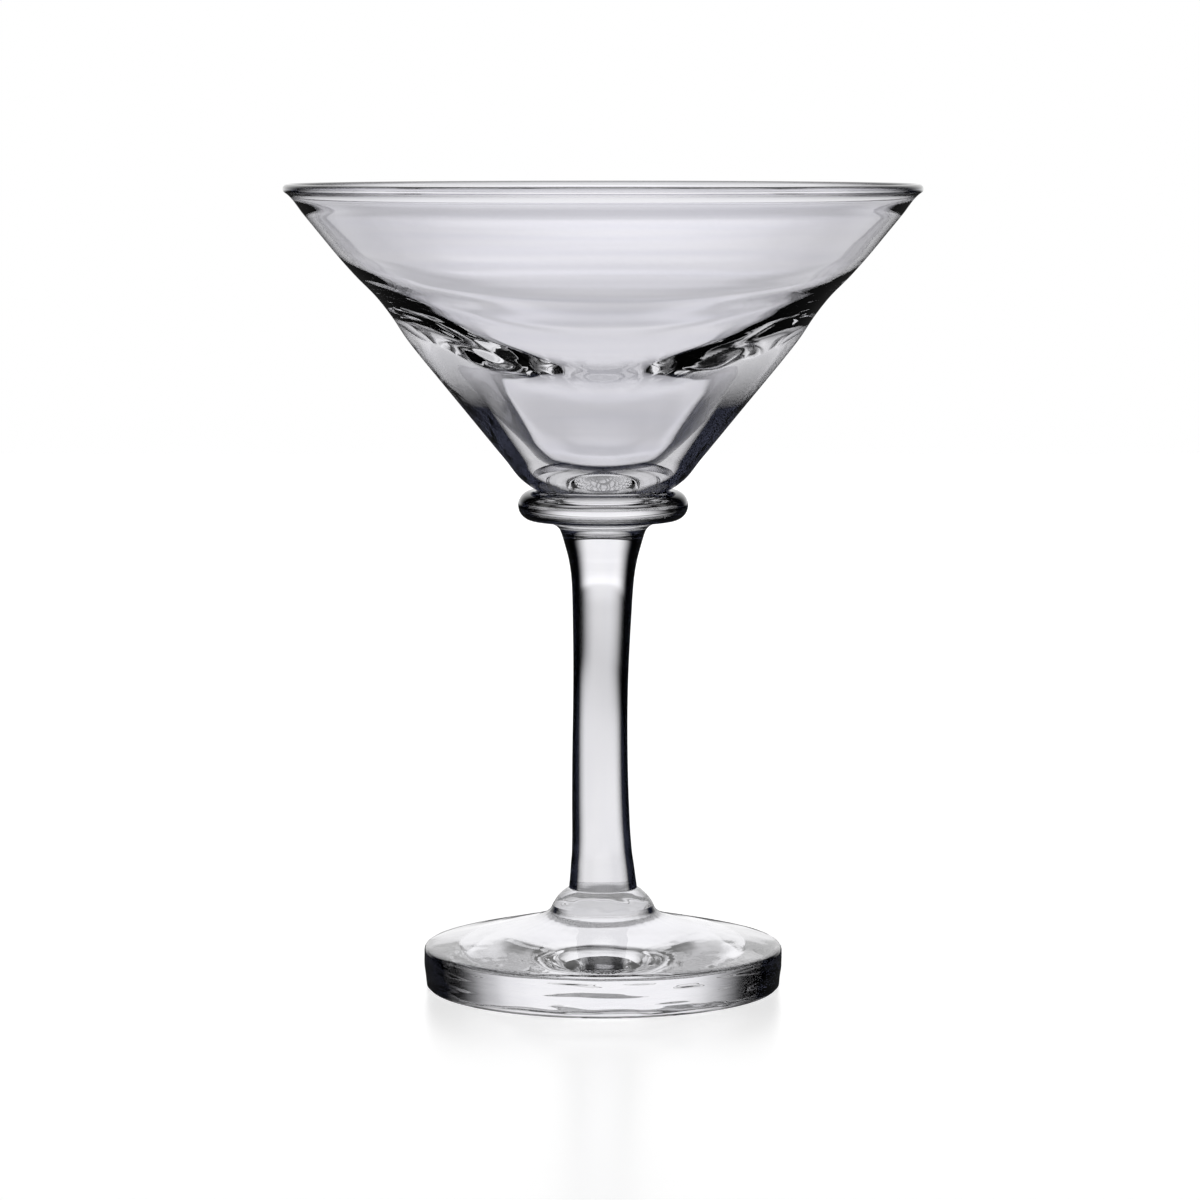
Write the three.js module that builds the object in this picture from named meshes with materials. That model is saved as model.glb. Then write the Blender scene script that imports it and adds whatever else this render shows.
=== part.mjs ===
// Hand-blown martini glass, in millimetres, +Z up.
// The origin is the middle of the foot's underside, and the glass stands on z = 0.
//
// A glassmaker gathers each piece hot and fuses it to the last one: a cone bowl, a merese
// (the ring under the bowl), a drawn stem, a knop (the button under the stem) and a disc foot.
// Each piece is a solid of revolution. Neighbours share one flat joint face and its radius.

import * as THREE from 'three';

// ---- Driving dimensions ----

// Foot: a thick disc with an upright edge and a low cone on top.
const FOOT_RADIUS = 36.05;         // widest place, at the top of the upright edge
const FOOT_EDGE_TAPER = 0.45;      // how much narrower the edge is where it meets the table
const FOOT_EDGE_HEIGHT = 7.3;      // top of the upright edge
const FOOT_SHOULDER = 1.4;         // size of the rounded corner above the edge
const FOOT_HEIGHT = 16.4;          // table to the joint with the knop
const FOOT_CONTACT_WIDTH = 8.6;    // width of the ring that touches the table
const FOOT_HOLLOW = 0.8;           // depth of the shallow hollow inside that ring
const FOOT_CORNER = 0.5;           // bevel at the table edge

// Knop: the sloping button between foot and stem.
const KNOP_RADIUS = 10.15;
const KNOP_HEIGHT = 3.5;
const KNOP_BULGE = 0.35;           // how far its slope swells past a straight cone

// Stem: solid, narrowest a little below its middle.
const STEM_LENGTH = 74;
const STEM_BASE_RADIUS = 6.85;     // joint with the knop
const STEM_WAIST_RADIUS = 5.5;
const STEM_SHOULDER_RADIUS = 8.3;  // where the top starts to flare
const STEM_TOP_RADIUS = 11.5;      // joint with the merese
const STEM_FLARE_HEIGHT = 2.4;     // height of that top flare

// Merese: the round-edged ring under the bowl.
const MERESE_RADIUS = 17;
const MERESE_HEIGHT = 6.4;
const MERESE_BEAD_RADIUS = 3;      // rounding of its edge
const MERESE_LOWER_NECK = 1.57;    // from the joint with the stem out to the bead
const MERESE_UPPER_NECK = 0.13;    // from the joint with the bowl out to the bead

// Bowl: a cone, thin at the lip and thick at the bottom.
const RIM_RADIUS = 63.5;
const BOWL_HEIGHT = 60.85;
const BOWL_BASE_RADIUS = 13.4;     // joint with the merese
const BOWL_HEEL_STEP = 2.8;        // how much wider the cone starts, just above the joint
const BOWL_HEEL_HEIGHT = 2;
const BOWL_WAIST_DEPTH = 1.1;      // a slight hollow in the cone where the thick glass ends
const BOWL_WAIST_HEIGHT = 37;
const BOWL_WAIST_SPREAD = 5;
const LIP_RADIUS = 1;              // fire-polished bead
const WALL_THIN = 1.3;
const WALL_THICK = 4.7;
const WALL_CHANGE_HEIGHT = 30.7;   // middle of the change from thick to thin
const WALL_CHANGE_SPREAD = 3;      // most of the change is within two of these of the middle
const BOWL_FLOOR = 2.2;            // glass between the drink and the joint
const BOWL_FLOOR_START = 6;        // the inside starts to round towards the floor here

const SEGMENTS = 64;               // sides of every solid of revolution
const OUTER_STEPS = 14;            // rings up the bowl's outside
const INNER_STEPS = 22;            // rings down its inside, where the wall's thickness changes

// ---- Stacking heights, from the table up ----

const KNOP_Z = FOOT_HEIGHT;
const STEM_Z = KNOP_Z + KNOP_HEIGHT;
const MERESE_Z = STEM_Z + STEM_LENGTH;
const BOWL_Z = MERESE_Z + MERESE_HEIGHT;

// ---- Radii that follow from others ----

const FOOT_BASE_RADIUS = FOOT_RADIUS - FOOT_EDGE_TAPER;
const FOOT_RING_INNER = FOOT_BASE_RADIUS - FOOT_CONTACT_WIDTH;
const BOWL_HEEL_RADIUS = BOWL_BASE_RADIUS + BOWL_HEEL_STEP;

// ---- Helpers ----

const point = (radius, height) => new THREE.Vector2(radius, height);

// Points along a quadratic curve, without its first point.
function bend(from, control, to, steps) {
  return new THREE.QuadraticBezierCurve(from, control, to).getPoints(steps).slice(1);
}

// Points along a circular arc, angles in degrees from the outward direction.
function arc(centre, radius, startDegrees, endDegrees, steps) {
  const points = [];
  for (let i = 0; i <= steps; i += 1) {
    const angle = THREE.MathUtils.degToRad(startDegrees + (endDegrees - startDegrees) * i / steps);
    points.push(point(centre.x + radius * Math.cos(angle), centre.y + radius * Math.sin(angle)));
  }
  return points;
}

// A closed solid of revolution from an outline that runs from the axis, around and back to it.
function turned(name, z, outline, look) {
  const geometry = new THREE.LatheGeometry(outline, SEGMENTS);
  geometry.rotateX(Math.PI / 2);
  const mesh = new THREE.Mesh(geometry, new THREE.MeshStandardMaterial(look));
  mesh.name = name;
  mesh.position.z = z;
  return mesh;
}

const clearGlass = { color: 0xe9edf1, roughness: 0.03, metalness: 0, transparent: true, opacity: 0.35 };

// ---- Foot ----

function footOutline() {
  const shoulder = point(FOOT_RADIUS - FOOT_SHOULDER, FOOT_EDGE_HEIGHT + FOOT_SHOULDER * 0.9);
  const slope = (FOOT_HEIGHT - shoulder.y) * 0.76 / (shoulder.x - KNOP_RADIUS);
  const filletEnd = point(KNOP_RADIUS * 1.45, 0);
  filletEnd.y = shoulder.y + (shoulder.x - filletEnd.x) * slope;
  const filletControl = point(KNOP_RADIUS * 1.04, 0);
  filletControl.y = shoulder.y + (shoulder.x - filletControl.x) * slope;
  return [
    point(0, FOOT_HOLLOW),
    point(FOOT_RING_INNER * 0.5, FOOT_HOLLOW * 0.93),
    ...bend(point(FOOT_RING_INNER * 0.75, FOOT_HOLLOW * 0.8), point(FOOT_RING_INNER * 0.92, FOOT_HOLLOW * 0.4),
      point(FOOT_RING_INNER, 0), 3),
    point(FOOT_BASE_RADIUS - FOOT_CORNER, 0),
    point(FOOT_BASE_RADIUS, FOOT_CORNER),
    point(FOOT_RADIUS, FOOT_EDGE_HEIGHT),
    ...bend(point(FOOT_RADIUS, FOOT_EDGE_HEIGHT), point(FOOT_RADIUS, shoulder.y - FOOT_SHOULDER * 0.2), shoulder, 4),
    point((shoulder.x + filletEnd.x) / 2, (shoulder.y + filletEnd.y) / 2),
    filletEnd,
    ...bend(filletEnd, filletControl, point(KNOP_RADIUS, FOOT_HEIGHT), 4),
    point(0, FOOT_HEIGHT),
  ];
}

// ---- Knop ----

function knopOutline() {
  const foot = point(KNOP_RADIUS, 0);
  const top = point(STEM_BASE_RADIUS, KNOP_HEIGHT);
  const middle = point((foot.x + top.x) / 2 + KNOP_BULGE * 2, KNOP_HEIGHT / 2 + KNOP_BULGE);
  return [point(0, 0), foot, ...bend(foot, middle, top, 5), point(0, KNOP_HEIGHT)];
}

// ---- Stem ----

function stemOutline() {
  const flareStart = STEM_LENGTH - STEM_FLARE_HEIGHT;
  const baseGrowth = STEM_BASE_RADIUS - STEM_WAIST_RADIUS;
  const topGrowth = STEM_SHOULDER_RADIUS - STEM_WAIST_RADIUS;
  const shaft = new THREE.SplineCurve([
    point(STEM_BASE_RADIUS, 0),
    point(STEM_WAIST_RADIUS + baseGrowth * 0.66, flareStart * 0.06),
    point(STEM_WAIST_RADIUS + baseGrowth * 0.28, flareStart * 0.16),
    point(STEM_WAIST_RADIUS, flareStart * 0.52),
    point(STEM_WAIST_RADIUS + topGrowth * 0.12, flareStart * 0.75),
    point(STEM_WAIST_RADIUS + topGrowth * 0.35, flareStart * 0.9),
    point(STEM_SHOULDER_RADIUS, flareStart),
  ]);
  const shoulder = point(STEM_SHOULDER_RADIUS, flareStart);
  const top = point(STEM_TOP_RADIUS, STEM_LENGTH);
  return [
    point(0, 0),
    ...shaft.getPoints(16),
    ...bend(shoulder, point(STEM_SHOULDER_RADIUS + 0.4, STEM_LENGTH - 0.5), top, 4),
    point(0, STEM_LENGTH),
  ];
}

// ---- Merese ----

function mereseOutline() {
  const lift = 0.1;
  const bead = Math.min(MERESE_BEAD_RADIUS, MERESE_HEIGHT / 2 - lift);
  const centre = point(MERESE_RADIUS - bead, MERESE_HEIGHT / 2 + lift);
  // The angle on the bead where it is as wide as a neck.
  const angleAt = (radius) => THREE.MathUtils.radToDeg(Math.acos((radius - centre.x) / bead));
  const lower = angleAt(STEM_TOP_RADIUS + MERESE_LOWER_NECK);
  const upper = angleAt(BOWL_BASE_RADIUS + MERESE_UPPER_NECK);
  return [
    point(0, 0),
    point(STEM_TOP_RADIUS, 0),
    ...arc(centre, bead, -lower, upper, 13),
    point(BOWL_BASE_RADIUS, MERESE_HEIGHT),
    point(0, MERESE_HEIGHT),
  ];
}

// ---- Bowl ----

// The outer cone's radius at a height above the joint.
function coneRadius(height) {
  const lipHeight = BOWL_HEIGHT - LIP_RADIUS;
  const share = (height - BOWL_HEEL_HEIGHT) / (lipHeight - BOWL_HEEL_HEIGHT);
  const waist = Math.exp(-(((height - BOWL_WAIST_HEIGHT) / BOWL_WAIST_SPREAD) ** 2));
  return BOWL_HEEL_RADIUS + (RIM_RADIUS - BOWL_HEEL_RADIUS) * share - BOWL_WAIST_DEPTH * waist;
}

// The wall's thickness, measured square to the cone.
function wallThickness(height) {
  const share = 1 / (1 + Math.exp((height - WALL_CHANGE_HEIGHT) / WALL_CHANGE_SPREAD));
  return WALL_THIN + (WALL_THICK - WALL_THIN) * share;
}

function bowlOutline() {
  const lipHeight = BOWL_HEIGHT - LIP_RADIUS;
  const lean = Math.atan2(RIM_RADIUS - BOWL_HEEL_RADIUS, lipHeight - BOWL_HEEL_HEIGHT);
  const joint = point(BOWL_BASE_RADIUS, 0);
  const heel = point(coneRadius(BOWL_HEEL_HEIGHT), BOWL_HEEL_HEIGHT);
  const outer = [joint, ...bend(joint, point(BOWL_BASE_RADIUS + 1, BOWL_HEEL_HEIGHT * 0.25), heel, 4)];
  const inner = [];
  const top = lipHeight - LIP_RADIUS;
  for (let i = 1; i <= OUTER_STEPS; i += 1) {
    const height = BOWL_HEEL_HEIGHT + (top - BOWL_HEEL_HEIGHT) * i / OUTER_STEPS;
    outer.push(point(coneRadius(height), height));
  }
  for (let i = INNER_STEPS; i >= 0; i -= 1) {
    const height = BOWL_FLOOR_START + (top - BOWL_FLOOR_START) * i / INNER_STEPS;
    const thickness = wallThickness(height);
    inner.push(point(
      coneRadius(height) - thickness * Math.cos(lean),
      height + thickness * Math.sin(lean),
    ));
  }
  const lip = arc(point(RIM_RADIUS - LIP_RADIUS, lipHeight), LIP_RADIUS, -30, 210, 8);
  const wallEnd = inner[inner.length - 1];
  const floorControl = point(wallEnd.x - (wallEnd.y - BOWL_FLOOR) * Math.tan(lean), BOWL_FLOOR);
  return [
    point(0, 0),
    ...outer,
    ...lip,
    ...inner,
    ...bend(wallEnd, floorControl, point(0, BOWL_FLOOR), 6),
  ];
}

const glass = new THREE.Group();
glass.add(turned('foot', 0, footOutline(), clearGlass));
glass.add(turned('foot_knop', KNOP_Z, knopOutline(), clearGlass));
glass.add(turned('stem', STEM_Z, stemOutline(), clearGlass));
glass.add(turned('merese', MERESE_Z, mereseOutline(), clearGlass));
glass.add(turned('bowl', BOWL_Z, bowlOutline(), clearGlass));

export default glass;
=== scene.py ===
"""A clear, hand-blown martini glass standing in a bright studio.

Each of its five pieces is turned again here, smoothly and in fine steps, from the outline of the
CAD node that it stands for. The hand of the glassmaker is added on the way: soft waves in the
surfaces, and a thick bottom in the bowl that climbs higher at the sides than at the front.
"""
import math

import bmesh
import bpy
import numpy as np
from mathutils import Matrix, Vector


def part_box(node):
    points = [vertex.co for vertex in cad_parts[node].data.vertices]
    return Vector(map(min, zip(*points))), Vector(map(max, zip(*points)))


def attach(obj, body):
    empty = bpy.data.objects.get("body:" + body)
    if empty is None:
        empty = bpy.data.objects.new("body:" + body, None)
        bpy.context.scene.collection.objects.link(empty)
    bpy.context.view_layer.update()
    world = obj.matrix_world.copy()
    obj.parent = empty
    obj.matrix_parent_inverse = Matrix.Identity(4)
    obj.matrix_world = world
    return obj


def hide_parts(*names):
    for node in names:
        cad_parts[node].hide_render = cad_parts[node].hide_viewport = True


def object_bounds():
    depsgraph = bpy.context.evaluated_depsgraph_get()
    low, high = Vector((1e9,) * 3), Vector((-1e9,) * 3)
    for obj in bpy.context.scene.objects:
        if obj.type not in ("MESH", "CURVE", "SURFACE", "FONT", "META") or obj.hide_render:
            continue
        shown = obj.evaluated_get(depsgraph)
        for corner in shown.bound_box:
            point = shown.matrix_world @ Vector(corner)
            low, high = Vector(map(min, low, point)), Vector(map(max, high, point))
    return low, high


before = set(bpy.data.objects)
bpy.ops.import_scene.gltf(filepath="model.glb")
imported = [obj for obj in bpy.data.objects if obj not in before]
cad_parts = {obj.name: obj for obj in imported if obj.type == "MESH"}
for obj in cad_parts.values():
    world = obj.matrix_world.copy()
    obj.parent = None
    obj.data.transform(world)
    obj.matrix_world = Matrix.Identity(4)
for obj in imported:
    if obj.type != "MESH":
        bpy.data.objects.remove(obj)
cad_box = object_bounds()

MM = 0.001
TINY = 2e-5                    # metres: places closer than this are the same place
LOW, HIGH = (corner.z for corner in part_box("bowl"))

# ---- How finely a piece is turned ----
SIDES = {"bowl": 288, "merese": 192, "stem": 128, "foot_knop": 128, "foot": 288}
STEP = {"bowl": 0.6, "merese": 0.35, "stem": 0.9, "foot_knop": 0.4, "foot": 0.5}  # mm
CORNER = math.radians(38)      # an outline that turns more than this at a point has a corner there

# ---- The bowl's thick bottom. Heights are above its joint with the ring. ----
FOLD = 12 * MM                 # how much higher the thick glass climbs at the sides than in front
FOLD_LEAN = 0.07               # share by which it climbs higher on the -X side
FOLD_TIGHTEN = 0.7             # share by which the change of thickness is steeper at the sides
FOLD_GROWS = (5 * MM, 25 * MM)     # the heights between which the climb comes in
FOLD_FADES = (54 * MM, 46 * MM)    # and those between which it is gone again
RIB_DEPTH = 0.09 * MM          # waves round the inside of the thick glass
RIBS = ((7, 0.5, 0.6, 0.020), (12, 0.35, 2.5, -0.016), (19, 0.15, 0.4, 0.012))
# each (count, share of the depth, where they start, metres of height per radian of twist)
RIB_GROWS = (5 * MM, 10 * MM)
RIB_FADES = (36 * MM, 28 * MM)
PLAIN_WALL = 15 * MM           # this far from either end the wall's thickness is even
PLAIN_LEVELS = 60              # heights looked at between those, to find the middle of the change

# ---- Stem ----
STEM_BOW = 0.6 * MM            # the stem leans this far towards -X, most of all below its middle
STEM_BOW_LOWER = 0.7           # below 1 puts the bow below the middle

# ---- Waves in the other surfaces ----
DRAW_DEPTH = 0.06 * MM         # unevenness left by shaping the foot, knop, stem and ring
DRAW_FADE = 0.12               # share of a piece's height over which it dies out at each joint
DRAW_CORE = 3 * MM             # and the radius within which it dies out at the axis
SPIN_DEPTH = 0.009 * MM        # ripples left by spinning the bowl
SPIN_FADES = (8 * MM, 4 * MM)  # they die out over this height at the bottom and the lip
SPIN_LENGTHS = (1.9 * MM, 3.1 * MM, 2.3 * MM)  # height per radian: two outside, one inside

# ---- Camera ----
LENS = 132.33                  # mm
SENSOR = 36                    # mm
CAMERA = Vector((-0.6, -879, 170.2)) * MM
LOOK_AT = Vector((-0.6, 0, 78.1)) * MM


# ---------------------------------------------------------------------------------------------
# Outlines
# ---------------------------------------------------------------------------------------------

def section(node):
    """The node's outline as (radius, height), from the bottom of its axis round to the top."""
    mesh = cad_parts[node].data
    places = {}
    for v in mesh.vertices:
        if abs(v.co.x) < TINY and v.co.y < TINY:
            places[v.index] = (round(max(-v.co.y, 0.0), 6), round(v.co.z, 6))
    links = {p: set() for p in places.values()}
    for edge in mesh.edges:
        a, b = (places.get(i) for i in edge.vertices)
        if a is not None and b is not None and a != b:
            links[a].add(b)
            links[b].add(a)
    here = min((p for p in links if p[0] < TINY), key=lambda p: p[1])
    outline, left = [here], set(links) - {here}
    while left:
        onward = [p for p in links[here] if p in left]
        if not onward:
            break
        here = min(onward, key=lambda p: math.dist(p, here))
        outline.append(here)
        left.discard(here)
    return [np.array(p) for p in outline]


def is_corner(before, here, after):
    a, b = here - before, after - here
    return abs(math.atan2(a[0] * b[1] - a[1] * b[0], a @ b)) > CORNER


def run_through(points, step):
    """Points about step apart on a smooth curve through the points, without the last one."""
    lengths = [math.dist(a, b) for a, b in zip(points, points[1:])]
    chords = [(b - a) / n for a, b, n in zip(points, points[1:], lengths)]
    pairs = zip(chords, chords[1:], lengths, lengths[1:])
    slopes = [chords[0], *((u * m + v * n) / (n + m) for u, v, n, m in pairs), chords[-1]]
    made = []
    for a, b, n, u, v in zip(points, points[1:], lengths, slopes, slopes[1:]):
        count = max(1, round(n / step))
        for k in range(count):
            t = k / count
            made.append((2 * t**3 - 3 * t**2 + 1) * a + (t**3 - 2 * t**2 + t) * n * u
                        + (3 * t**2 - 2 * t**3) * b + (t**3 - t**2) * n * v)
    return made


def smooth_outline(points, step):
    """(the outline in fine steps, the places in it that are corners)."""
    ends = [i for i in range(1, len(points) - 1) if is_corner(*points[i - 1:i + 2])]
    ends = [0, *ends, len(points) - 1]
    made, corners = [], set()
    for a, b in zip(ends, ends[1:]):
        corners.add(len(made))
        made += run_through(points[a:b + 1], step)
    made.append(points[-1])
    box = np.array(points)
    return list(np.clip(made, box.min(0), box.max(0))), corners


def ease(x, start, end):
    """0 up to start and 1 from end on, smoothly between them. Start may be above end."""
    t = min(max((x - start) / (end - start), 0.0), 1.0)
    return t * t * (3 - 2 * t)


# ---------------------------------------------------------------------------------------------
# Hand-made shape: each function gives a ring's radius at an angle, from its place in the outline
# ---------------------------------------------------------------------------------------------

def drawn(node, depth, waves):
    """Slight unevenness that dies out at the node's joints, so that neighbours still meet."""
    low, high = (corner.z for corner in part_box(node))
    fade = (high - low) * DRAW_FADE

    def radius(i, r, z, angle):
        held = ease(z, low, low + fade) * ease(z, high, high - fade) * ease(r, 0, DRAW_CORE)
        wave = sum(math.sin(n * angle + start + z / length) for n, start, length in waves)
        return r + depth * held * wave / len(waves)
    return radius


def bowl_shape(outline):
    """The bowl's walls: the outside as it is, the inside with its climbing thick glass and ribs."""
    top = max(range(len(outline)), key=lambda i: outline[i][1])
    outer = sorted((p[1], p[0]) for p in outline[1:top] if p[1] > LOW + TINY)
    inner = sorted((p[1], p[0]) for p in outline[top + 1:])
    outer_z, outer_r = (np.array(c) for c in zip(*outer))
    inner_z, inner_r = (np.array(c) for c in zip(*inner))

    def gap(z):
        return np.interp(z, outer_z, outer_r) - np.interp(z, inner_z, inner_r)

    levels = np.linspace(LOW + PLAIN_WALL, HIGH - PLAIN_WALL, PLAIN_LEVELS)
    half = (gap(levels[0]) + gap(levels[-1])) / 2
    middle = min(levels, key=lambda z: abs(gap(z) - half))
    bottom_fade, lip_fade = SPIN_FADES
    first, second, inside = SPIN_LENGTHS

    def radius(i, r, z, angle):
        side = math.cos(angle)
        spin = SPIN_DEPTH * ease(z, LOW, LOW + bottom_fade) * ease(z, HIGH, HIGH - lip_fade)
        if i <= top:
            wave = math.sin(z / first + 1.4 * math.sin(angle)) + math.sin(z / second + angle)
            return r + spin * wave / 2
        height = z - LOW
        held = ease(height, *FOLD_GROWS) * ease(height, *FOLD_FADES)
        climb = FOLD * (side * side * (1 - FOLD_LEAN * side) - 0.5) * held
        tight = 1 + FOLD_TIGHTEN * side * side * held
        ribs = sum(share * math.sin(n * angle + start + z / twist) for n, share, start, twist in RIBS)
        ribs *= RIB_DEPTH * ease(height, *RIB_GROWS) * ease(height, *RIB_FADES)
        wave = math.sin(z / inside + 2 * math.sin(2 * angle)) * spin
        return r + gap(z) - gap(middle + (z - climb - middle) * tight) - ribs + wave
    return radius


# ---------------------------------------------------------------------------------------------
# Turning
# ---------------------------------------------------------------------------------------------

def bow(node, z):
    """How far the ring at a height is pushed along X."""
    if node != "stem":
        return 0.0
    low, high = (corner.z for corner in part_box(node))
    share = (z - low) / (high - low)
    return -STEM_BOW * math.sin(math.pi * share ** STEM_BOW_LOWER) ** 2


def turn(name, node, outline, corners, radius, materials, joints):
    """A closed turning. Flat faces at a joint's height get the second material."""
    sides = SIDES[node]
    angles = [2 * math.pi * k / sides for k in range(sides)]
    bm = bmesh.new()
    rings = []
    for i, (r, z) in enumerate(outline):
        if r < TINY:
            rings.append([bm.verts.new((0, 0, z))])
            continue
        aside = bow(node, z)
        reach = [radius(i, r, z, a) for a in angles]
        rings.append([bm.verts.new((aside + q * math.cos(a), q * math.sin(a), z))
                      for q, a in zip(reach, angles)])
    for i, (a, b) in enumerate(zip(rings, rings[1:])):
        level = abs(outline[i][1] - outline[i + 1][1]) < TINY
        fused = level and any(abs(outline[i][1] - z) < TINY for z in joints)
        for k in range(sides):
            n = (k + 1) % sides
            if len(a) == 1:
                corner_points = (a[0], b[n], b[k])
            elif len(b) == 1:
                corner_points = (a[k], a[n], b[0])
            else:
                corner_points = (a[k], a[n], b[n], b[k])
            face = bm.faces.new(corner_points)
            face.smooth = True
            face.material_index = 1 if fused else 0
    for i in corners:
        if len(rings[i]) > 1:
            for k in range(sides):
                bm.edges.get((rings[i][k], rings[i][(k + 1) % sides])).smooth = False
    bm.normal_update()
    mesh = bpy.data.meshes.new(name)
    bm.to_mesh(mesh)
    bm.free()
    piece = bpy.data.objects.new(name, mesh)
    bpy.context.scene.collection.objects.link(piece)
    for material in materials:
        mesh.materials.append(material)
    return piece


# ---------------------------------------------------------------------------------------------
# Node helpers
# ---------------------------------------------------------------------------------------------

class Graph:
    """Short names for making and joining shader nodes."""

    def __init__(self, tree):
        self.tree = tree
        tree.nodes.clear()

    def node(self, kind, **settings):
        made = self.tree.nodes.new(kind)
        for key, value in settings.items():
            setattr(made, key, value)
        return made

    def put(self, socket, value):
        if isinstance(value, bpy.types.NodeSocket):
            self.tree.links.new(value, socket)
        else:
            socket.default_value = value

    def math(self, operation, *values):
        made = self.node("ShaderNodeMath", operation=operation)
        for socket, value in zip(made.inputs, values):
            self.put(socket, value)
        return made.outputs[0]

    def ramp(self, value, start, end, low=0.0, high=1.0):
        """low up to start and high from end on, smoothly between them."""
        made = self.node("ShaderNodeMapRange", interpolation_type="SMOOTHSTEP")
        for socket, v in zip(made.inputs, (value, start, end, low, high)):
            self.put(socket, v)
        return made.outputs[0]

    def part(self, vector, axis):
        made = self.node("ShaderNodeSeparateXYZ")
        self.put(made.inputs[0], vector)
        return made.outputs[axis]

    def mix(self, share, a, b):
        made = self.node("ShaderNodeMix", data_type="FLOAT")
        for index, v in zip((0, 2, 3), (share, a, b)):
            self.put(made.inputs[index], v)
        return made.outputs[0]

    def mix_colour(self, share, a, b):
        made = self.node("ShaderNodeMix", data_type="RGBA")
        for index, v in zip((0, 6, 7), (share, a, b)):
            self.put(made.inputs[index], v)
        return made.outputs[2]


# ---------------------------------------------------------------------------------------------
# Materials
# ---------------------------------------------------------------------------------------------

CLEAR = (0.970, 0.965, 0.995, 1.0)
COOL = (0.935, 0.932, 0.975, 1.0)   # in the cords
PAINTED_EDGE_SHADE = (0.0010, 0.0012, 0.0028, 1.0)  # painted shade: the glass's colour where it is seen edge on
CORD_TINT = (0.35, 0.70)       # cord noise between which the tint turns from clear to cool
CORD_HAZE = (0.45, 0.75)       # and between which the surface gets its faint haze
HAZE = 0.02
WALL_SLOPES = (0.6, 0.9)       # how level a face is, where it stops counting as a wall for the painted edge shade
REFRACTIVE_INDEX = 1.5


def glass(name, edge, streaks, bump, detail=3.0, walls_only=False, painted_shade_bands=()):
    """Clear glass with faint cords in it, and painted shade where it is seen edge on.

    edge is (start, end, share) of that painted shade, a darkening of the colour that stands in for
    dark surroundings seen through the glass. Each band, (start, end, height, height), is painted
    shade too: the darkening is full there and takes over from the first height to the second. streaks
    is the cords' frequency along X, Y and Z, per metre. With walls_only, level faces don't get the
    painted shade.
    """
    material = bpy.data.materials.new(name)
    material.use_nodes = True
    g = Graph(material.node_tree)
    place = g.node("ShaderNodeTexCoord").outputs["Object"]
    stretch = g.node("ShaderNodeMapping")
    g.put(stretch.inputs["Vector"], place)
    stretch.inputs["Scale"].default_value = streaks
    noise = g.node("ShaderNodeTexNoise")
    noise.inputs["Scale"].default_value = 1.0
    noise.inputs["Detail"].default_value = detail
    g.put(noise.inputs["Vector"], stretch.outputs[0])
    cords = noise.outputs["Fac"]
    # Painted shade: the colour darkens where the surface is seen edge on, in place of dark
    # surroundings seen through the glass.
    facing = g.node("ShaderNodeLayerWeight").outputs["Facing"]
    start, end, share = edge
    dark = g.ramp(facing, start, end, 0.0, share)
    # More painted shade in a band of height, where the edge-on darkening can reach full.
    for start, end, outside, inside in painted_shade_bands:
        in_band = g.ramp(g.part(place, "Z"), outside, inside)
        dark = g.mix(in_band, dark, g.ramp(facing, start, end))
    if walls_only:
        normal = g.node("ShaderNodeTexCoord").outputs["Normal"]
        level = g.math("ABSOLUTE", g.part(normal, "Z"))
        dark = g.math("MULTIPLY", dark, g.ramp(level, *WALL_SLOPES, 1.0, 0.0))
    body = g.mix_colour(g.ramp(cords, *CORD_TINT), CLEAR, COOL)
    shader = g.node("ShaderNodeBsdfPrincipled")
    g.put(shader.inputs["Base Color"], g.mix_colour(dark, body, PAINTED_EDGE_SHADE))
    g.put(shader.inputs["Roughness"], g.ramp(cords, *CORD_HAZE, 0.0, HAZE))
    shader.inputs["IOR"].default_value = REFRACTIVE_INDEX
    shader.inputs["Transmission Weight"].default_value = 1.0
    relief = g.node("ShaderNodeBump")
    relief.inputs["Strength"].default_value = 1.0
    relief.inputs["Distance"].default_value = bump
    g.put(relief.inputs["Height"], cords)
    g.put(shader.inputs["Normal"], relief.outputs[0])
    out = g.node("ShaderNodeOutputMaterial")
    g.put(out.inputs["Surface"], shader.outputs[0])
    return material


def fused_glass():
    """The faces where two pieces are fused: light passes as if nothing were there."""
    material = bpy.data.materials.new("fused_joint")
    material.use_nodes = True
    g = Graph(material.node_tree)
    out = g.node("ShaderNodeOutputMaterial")
    g.put(out.inputs["Surface"], g.node("ShaderNodeBsdfTransparent").outputs[0])
    return material


# ---------------------------------------------------------------------------------------------
# Studio
# ---------------------------------------------------------------------------------------------

# Elevations are in degrees above level. A pair is where something starts and where it is full.
# Half-widths are tangents: how far to the side, for each metre ahead.
HORIZON = -1.95                # where the table ends and the backdrop starts
HORIZON_BLUR = 0.6             # over this much to either side of it

TABLE_FAR = 0.42               # half-width of the lit table from TABLE_WIDENS[0] up
TABLE_NEAR = 1.0               # at TABLE_WIDENS[1]
TABLE_STEEP = 1.6              # from TABLE_OPENS[1] down
TABLE_WIDENS = (-5, -9.5)
TABLE_OPENS = (-11, -15)
TABLE_EDGE = (0.3, 1.75)       # shares of the half-width between which the table fades out
TABLE_LIGHT = 0.66
TABLE_END_LIGHT = 0.20         # extra light on the table's far end, just below the horizon
TABLE_END = (-5.5, HORIZON)
TABLE_MIRRORED = 0.03          # share of the table's light that shows in reflections
MIRROR_FADE = 3                # degrees below the horizon over which that share is reached
POOL_LIGHT = 0.22              # extra light on the table close to the glass
POOL_STARTS = (-5, -10.5)
POOL_ENDS = (-24, -13)

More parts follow.
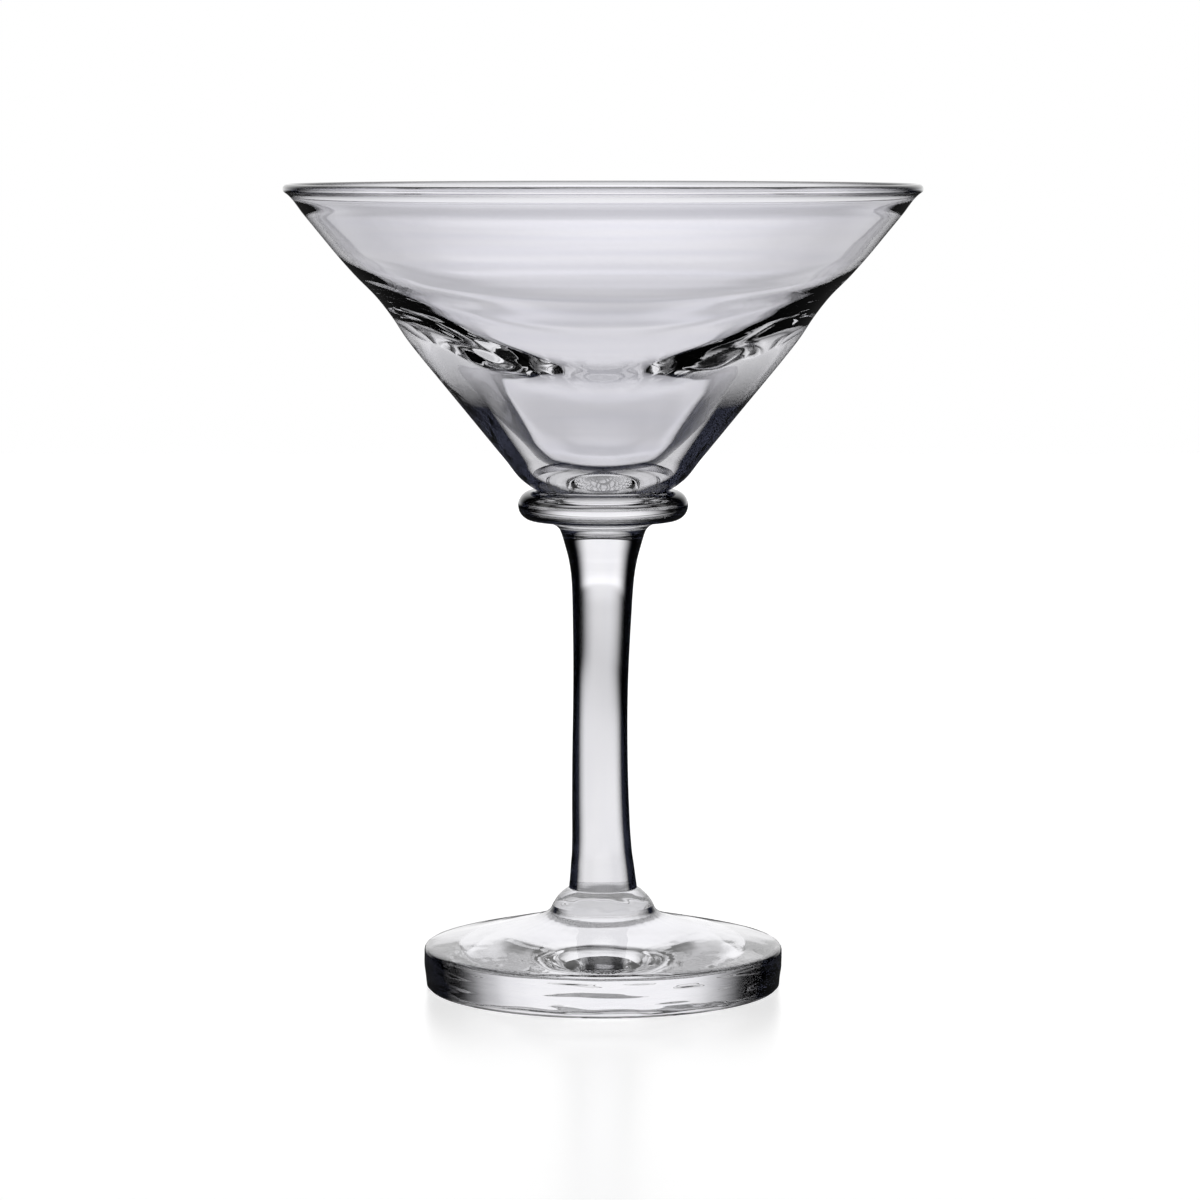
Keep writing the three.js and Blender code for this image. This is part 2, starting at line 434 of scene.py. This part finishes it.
BACKDROP_LOW = 0.90            # at the horizon
BACKDROP_HIGH = 1.10           # BACKDROP_RISE above it
BACKDROP_RISE = 1.2
BACKDROP_TOP = 0.98            # from BACKDROP_UPPER[1] up to the ceiling
BACKDROP_UPPER = (0, 3)
BACKDROP_EDGE = (0.25, 0.9)    # half-widths between which the backdrop fades out sideways
SIDE_SHARPNESS = 4.0           # how much narrower the two side backdrops are than front and back

CEILING = 0.05                 # light from above the backdrop
CEILING_STARTS = (35, 50)
OVERHEAD = 0.05
OVERHEAD_STARTS = (60, 70)
UNDERNEATH = 0.30
UNDERNEATH_STARTS = (-50, -70)
DARKEST = 0.004
SMALLEST = 1e-3                # keeps a division away from nought


def studio():
    """A lit backdrop and table on all four sides, dark at the diagonals and above.

    This is what the glass refracts and mirrors. The camera itself sees plain white.
    """
    world = bpy.data.worlds.new("studio")
    bpy.context.scene.world = world
    world.use_nodes = True
    g = Graph(world.node_tree)
    split = g.node("ShaderNodeSeparateXYZ")
    g.put(split.inputs[0], g.node("ShaderNodeTexCoord").outputs["Generated"])
    x, y, up = split.outputs

    def between(angles, low=0.0, high=1.0):
        start, end = (math.sin(math.radians(angle)) for angle in angles)
        return g.ramp(up, start, end, low, high)

    across, along = g.math("ABSOLUTE", x), g.math("ABSOLUTE", y)
    off_y = g.math("DIVIDE", across, g.math("MAXIMUM", along, SMALLEST))
    off_x = g.math("DIVIDE", along, g.math("MAXIMUM", across, SMALLEST))
    off = g.math("MINIMUM", off_y, g.math("MULTIPLY", off_x, SIDE_SHARPNESS))

    width = between(TABLE_WIDENS, TABLE_FAR, TABLE_NEAR)
    width = g.mix(between(TABLE_OPENS), width, TABLE_STEEP)
    pool = g.math("MULTIPLY", between(POOL_STARTS), between(POOL_ENDS))
    table = g.math("MULTIPLY_ADD", pool, POOL_LIGHT, TABLE_LIGHT)
    table = g.math("ADD", table, between(TABLE_END, 0.0, TABLE_END_LIGHT))
    table = g.math("MULTIPLY", table, g.ramp(g.math("DIVIDE", off, width), *TABLE_EDGE, 1.0, 0.0))

    backdrop = between((HORIZON, HORIZON + BACKDROP_RISE), BACKDROP_LOW, BACKDROP_HIGH)
    backdrop = g.mix(between(BACKDROP_UPPER), backdrop, BACKDROP_TOP)
    backdrop = g.mix(between(CEILING_STARTS), backdrop, CEILING)
    backdrop = g.math("MULTIPLY", backdrop, g.ramp(off, *BACKDROP_EDGE, 1.0, 0.0))

    above = between((HORIZON - HORIZON_BLUR, HORIZON + HORIZON_BLUR))
    light = g.math("MAXIMUM", g.mix(above, table, backdrop), DARKEST)
    light = g.mix(between(UNDERNEATH_STARTS), light, UNDERNEATH)
    light = g.mix(between(OVERHEAD_STARTS), light, OVERHEAD)

    # A refracted ray counts as glossy too, so only what isn't a transmission is a reflection.
    path = g.node("ShaderNodeLightPath").outputs
    mirrored = g.math("SUBTRACT", path["Is Glossy Ray"], path["Is Transmission Ray"])
    mirrored = g.math("MAXIMUM", mirrored, 0.0)
    mirrored = g.math("MULTIPLY", mirrored, between((HORIZON, HORIZON - MIRROR_FADE)))
    light = g.math("MULTIPLY", light, g.mix(mirrored, 1.0, TABLE_MIRRORED))
    background = g.node("ShaderNodeBackground")
    background.inputs["Color"].default_value = (1, 1, 1, 1)
    g.put(background.inputs["Strength"], g.mix(path["Is Camera Ray"], light, 1.0))
    out = g.node("ShaderNodeOutputWorld")
    g.put(out.inputs["Surface"], background.outputs[0])


FLOOR_SIZE = 3.0
FLOOR_COLOUR = (0.8, 0.8, 0.8, 1)
FLOOR_ROUGHNESS = 0.25
FLOOR_SHINE = 0.3
FLOOR_GLOW = 0.68


def pale_floor():
    """A plain white sheet. The glass sees the studio's own table, so it hides from other rays."""
    bpy.ops.mesh.primitive_plane_add(size=FLOOR_SIZE, location=(0, 0, cad_box[0].z))
    floor = bpy.context.object
    floor.name = "floor"
    material = bpy.data.materials.new("white_sheet")
    material.use_nodes = True
    g = Graph(material.node_tree)
    sheet = g.node("ShaderNodeBsdfPrincipled")
    sheet.inputs["Base Color"].default_value = FLOOR_COLOUR
    sheet.inputs["Roughness"].default_value = FLOOR_ROUGHNESS
    sheet.inputs["Specular IOR Level"].default_value = FLOOR_SHINE
    sheet.inputs["Emission Color"].default_value = (1, 1, 1, 1)
    sheet.inputs["Emission Strength"].default_value = FLOOR_GLOW
    both = g.node("ShaderNodeMixShader")
    g.put(both.inputs[0], g.node("ShaderNodeLightPath").outputs["Is Camera Ray"])
    g.put(both.inputs[1], g.node("ShaderNodeBsdfTransparent").outputs[0])
    g.put(both.inputs[2], sheet.outputs[0])
    out = g.node("ShaderNodeOutputMaterial")
    g.put(out.inputs["Surface"], both.outputs[0])
    floor.data.materials.append(material)


def camera():
    data = bpy.data.cameras.new("camera")
    data.lens = LENS
    data.sensor_width = SENSOR
    made = bpy.data.objects.new("camera", data)
    bpy.context.scene.collection.objects.link(made)
    made.location = CAMERA
    made.rotation_euler = (LOOK_AT - CAMERA).to_track_quat("-Z", "Y").to_euler()
    bpy.context.scene.camera = made


# ---------------------------------------------------------------------------------------------
# The scene
# ---------------------------------------------------------------------------------------------

scene = bpy.context.scene
scene.view_settings.view_transform = "Standard"
scene.cycles.max_bounces = 32
scene.cycles.transmission_bounces = 32
scene.cycles.transparent_max_bounces = 64
scene.cycles.glossy_bounces = 16

camera()
studio()
pale_floor()

# Each piece, from the table up: its waves, and what glass() makes it of.
# A wave is (waves round the piece, where they start, metres of height per radian).
# In each look, edge sets the painted shade where that piece is seen edge on.
LOOKS = {
    "foot": (((2, 0.5, 0.0008), (5, 1.2, 0.0005), (23, 0.3, 0.009), (38, 1.0, 0.012)), dict(
        name="foot_glass", edge=(0.12, 0.55, 1.0), streaks=(60, 60, 420), bump=0.30 * MM,
        detail=1.0, walls_only=True)),
    "foot_knop": (((2, 0.7, 0.0015), (5, 1.9, 0.0009), (11, 0.3, 0.0012)), dict(
        name="knop_glass", edge=(0.50, 0.95, 0.9), streaks=(150, 150, 420), bump=0.30 * MM,
        detail=1.0)),
    "stem": (((1, 0.2, 0.011), (2, 2.0, 0.017), (3, 0.9, 0.007)), dict(
        name="stem_glass", edge=(0.14, 0.38, 1.0), streaks=(420, 420, 14), bump=0.004 * MM,
        walls_only=True)),
    "merese": (((2, 0.4, 0.004), (3, 1.1, 0.003)), dict(
        name="merese_glass", edge=(0.05, 0.55, 1.0), streaks=(60, 60, 300), bump=0.002 * MM)),
    # The bowl also gets stronger painted shade in a band over its thick bottom and a band at its lip.
    "bowl": (None, dict(
        name="bowl_glass", edge=(0.66, 1.0, 0.75), streaks=(14, 14, 520), bump=0.0012 * MM,
        detail=1.0, painted_shade_bands=((0.48, 0.57, LOW + 30 * MM, LOW + 17 * MM),
                           (0.22, 0.72, HIGH - 3 * MM, HIGH - 1.5 * MM)))),
}

joint_faces = fused_glass()
joints = [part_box(node)[1].z for node in LOOKS if node != "bowl"]
for node, (waves, look) in LOOKS.items():
    outline, corners = smooth_outline(section(node), STEP[node] * MM)
    radius = bowl_shape(outline) if node == "bowl" else drawn(node, DRAW_DEPTH, waves)
    materials = [glass(**look), joint_faces]
    piece = turn(node + "_blown", node, outline, corners, radius, materials, joints)
    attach(piece, "root")
    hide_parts(node)
